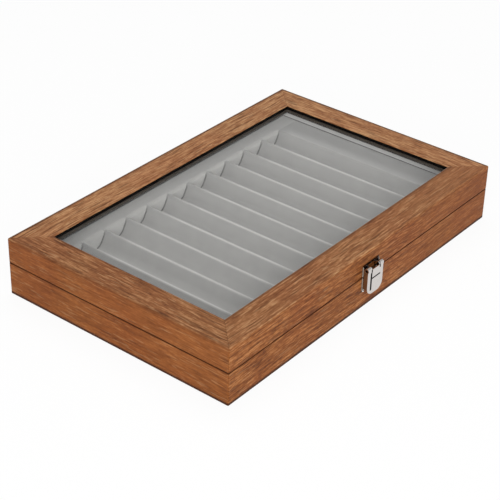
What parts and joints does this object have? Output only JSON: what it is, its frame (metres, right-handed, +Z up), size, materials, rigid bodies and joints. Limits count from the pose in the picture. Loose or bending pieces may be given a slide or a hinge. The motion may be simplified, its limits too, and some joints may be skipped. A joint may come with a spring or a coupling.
{
  "type": "pen storage box",
  "caption": "Flat wooden pen display case with a hinged, glazed lid over a suede-covered bed of pen channels, closed by a chrome flap latch at the front.",
  "frame": {"origin": "centre of the underside, on the surface the box stands on", "axes": "+X along the long side, -Y to the front with the latch, +Z up"},
  "size_m": [0.34, 0.2276, 0.05],
  "materials": {
    "veneered_wood": "satin, fine brown grain along each member",
    "plywood": "plain",
    "dark_felt": "short felt",
    "grey_suede": "short-pile suede over foam and board",
    "blackened_wood": "satin black",
    "clear_glass": "clear, flat, polished",
    "polished_chrome": "polished",
    "steel": "bright zinc"
  },
  "bodies": {
    "base": {"base_back_wall": "veneered_wood", "base_front_wall": "veneered_wood", "base_left_wall": "veneered_wood", "base_right_wall": "veneered_wood", "bed_back_end_strip": "grey_suede", "bed_core": "grey_suede", "bed_front_end_strip": "grey_suede", "bed_left_edge_strip": "grey_suede", "bed_ridge_bars": "grey_suede", "bed_right_edge_strip": "grey_suede", "bottom_panel": "plywood", "hinge_base_screws": "steel", "hinge_pins": "steel", "latch_strike_plate": "polished_chrome", "latch_strike_screws": "steel", "left_hinge_base_leaf": "polished_chrome", "right_hinge_base_leaf": "polished_chrome", "underside_felt": "dark_felt"},
    "lid": {"glass_back_retainer": "blackened_wood", "glass_front_retainer": "blackened_wood", "glass_left_retainer": "blackened_wood", "glass_pane": "clear_glass", "glass_right_retainer": "blackened_wood", "hinge_lid_screws": "steel", "latch_hasp_plate": "polished_chrome", "latch_hasp_screws": "steel", "latch_pivot_pins": "steel", "left_hinge_lid_leaf": "polished_chrome", "lid_back_lining": "grey_suede", "lid_back_rail": "veneered_wood", "lid_front_lining": "grey_suede", "lid_front_rail": "veneered_wood", "lid_left_lining": "grey_suede", "lid_left_rail": "veneered_wood", "lid_right_lining": "grey_suede", "lid_right_rail": "veneered_wood", "right_hinge_lid_leaf": "polished_chrome"},
    "latch_flap": {"latch_flap": "polished_chrome"}
  },
  "joints": [
    {"name": "lid_hinge", "type": "hinge", "parent": "base", "child": "lid", "pos_m": [0, 0.1113, 0.0284], "axis": [-1, 0, 0], "range_deg": [0, 100]},
    {"name": "latch_flap_pivot", "type": "hinge", "parent": "lid", "child": "latch_flap", "pos_m": [0, -0.1122, 0.0352], "axis": [-1, 0, 0], "range_deg": [0, 110]}
  ]
}
